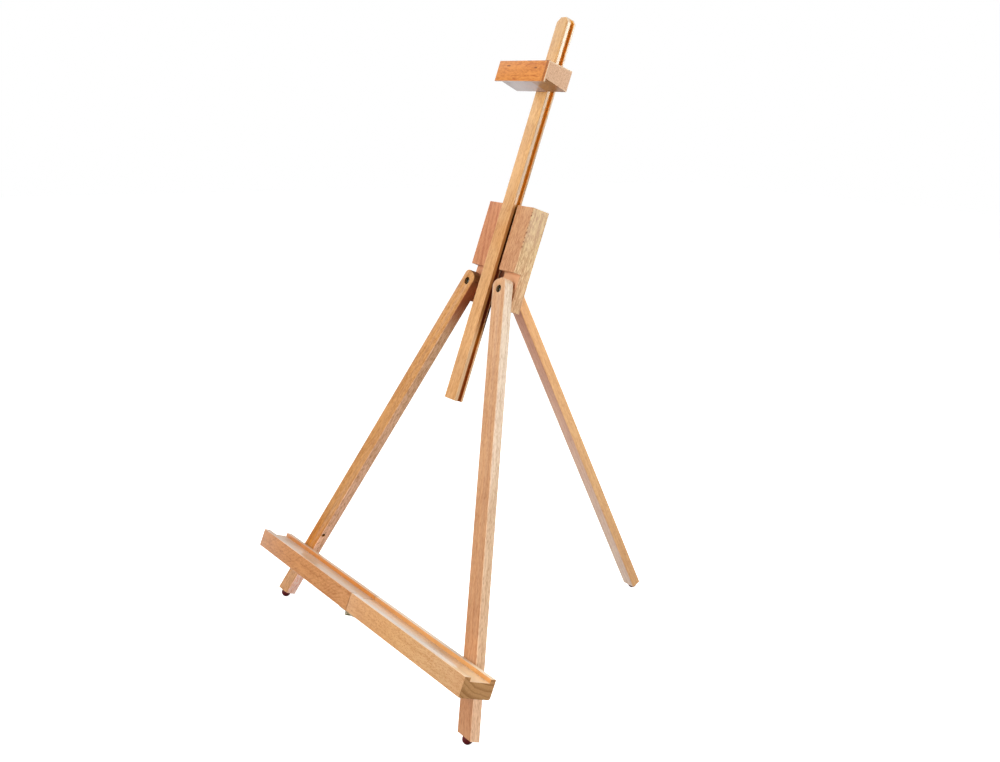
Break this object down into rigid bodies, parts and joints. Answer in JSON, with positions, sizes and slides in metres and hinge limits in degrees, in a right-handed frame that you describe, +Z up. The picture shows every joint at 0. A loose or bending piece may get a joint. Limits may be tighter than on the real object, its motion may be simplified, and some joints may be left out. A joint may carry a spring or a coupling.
{
  "type": "table easel",
  "caption": "Folding beech table easel: splayed front legs, a rear leg, a sliding mast with a lipped canvas clamp, and a two-part grooved tray.",
  "frame": {"origin": "on the floor below the centre of the open easel's bounding box", "axes": "+Z up, -Y towards the front where the canvas stands, +X to the right of a person facing the canvas"},
  "size_m": [0.5372, 0.5021, 0.8334],
  "materials": {
    "beech": "clear semi-gloss varnish over planed beech",
    "brass": "aged brass plating",
    "steel": "zinc plated, satin",
    "nylon": "natural nylon, matt",
    "knob": "black moulded plastic, satin",
    "foot_rubber": "dark red rubber, satin"
  },
  "bodies": {
    "head": {"left_cheek": "beech", "right_cheek": "beech", "bridge_block": "beech", "bridge_dowels": "beech", "mast_clip": "steel", "clip_screws": "steel", "knob_insert": "brass", "rear_pivot_rod": "steel", "rear_pivot_washers": "nylon", "leg_pivot_bolts": "steel", "leg_pivot_nuts": "brass", "leg_spacers": "beech"},
    "mast_lock": {"mast_lock_screw": "steel", "mast_knob": "knob"},
    "mast": {"mast": "beech"},
    "clamp": {"clamp_block": "beech", "clamp_bracket": "steel", "clamp_bracket_screws": "steel", "clamp_nut": "brass"},
    "clamp_lock": {"clamp_lock_screw": "steel", "clamp_knob": "knob"},
    "left_leg": {"left_leg": "beech", "left_foot": "foot_rubber"},
    "right_leg": {"right_leg": "beech", "right_foot": "foot_rubber", "right_tray_bolt": "steel", "right_bolt_washer": "steel"},
    "rear_leg": {"rear_leg": "beech", "rear_foot": "foot_rubber"},
    "tray_left": {"tray_left": "beech", "left_insert": "brass", "left_tray_bolt": "steel", "left_washers": "steel", "hinge_leaf_left": "brass", "hinge_pin": "steel", "hinge_screws_left": "brass"},
    "tray_right": {"tray_right": "beech", "right_insert": "brass", "right_washer": "steel", "hinge_leaf_right": "brass", "hinge_screws_right": "brass"}
  },
  "joints": [
    {"name": "mast_slide", "type": "slide", "parent": "head", "child": "mast", "axis": [0, 0.3198, 0.9475], "range_m": [-0.1, 0.13]},
    {"name": "mast_lock_turn", "type": "hinge", "parent": "head", "child": "mast_lock", "pos_m": [0, 0.0093, 0.55527], "axis": [0, 0.9475, -0.3198], "continuous": true},
    {"name": "clamp_slide", "type": "slide", "parent": "mast", "child": "clamp", "axis": [0, 0.3198, 0.9475], "range_m": [-0.05, 0.068]},
    {"name": "clamp_lock_turn", "type": "hinge", "parent": "clamp", "child": "clamp_lock", "pos_m": [0, 0.05516, 0.75087], "axis": [0, 0.9475, -0.3198], "continuous": true},
    {"name": "leg_fold", "type": "hinge", "parent": "head", "child": "left_leg", "pos_m": [-0.0368, -0.03605, 0.48627], "axis": [0, -0.9379, 0.3469], "range_deg": [0, 22.1]},
    {"name": "right_leg_fold", "type": "hinge", "parent": "head", "child": "right_leg", "pos_m": [0.0368, -0.03605, 0.48627], "axis": [0, -0.9379, 0.3469], "range_deg": [-22.1, 0]},
    {"name": "tray_fold", "type": "hinge", "parent": "left_leg", "child": "tray_left", "pos_m": [-0.21724, -0.20287, 0.07419], "axis": [0, -0.9379, 0.3469], "range_deg": [0, 62.28]},
    {"name": "tray_hinge", "type": "hinge", "parent": "tray_left", "child": "tray_right", "pos_m": [0, -0.2501, 0.07508], "axis": [0, -0.9379, 0.3469], "range_deg": [-168.74, 0]},
    {"name": "rear_leg_fold", "type": "hinge", "parent": "head", "child": "rear_leg", "pos_m": [0, -0.01504, 0.50944], "axis": [-1, 0, 0], "range_deg": [0, 45.95]}
  ],
  "couplings": [
    {"joint": "right_leg_fold", "follows": "leg_fold", "ratio": -1},
    {"joint": "tray_fold", "follows": "leg_fold", "ratio": 2.8175},
    {"joint": "tray_hinge", "follows": "leg_fold", "ratio": -7.635}
  ]
}
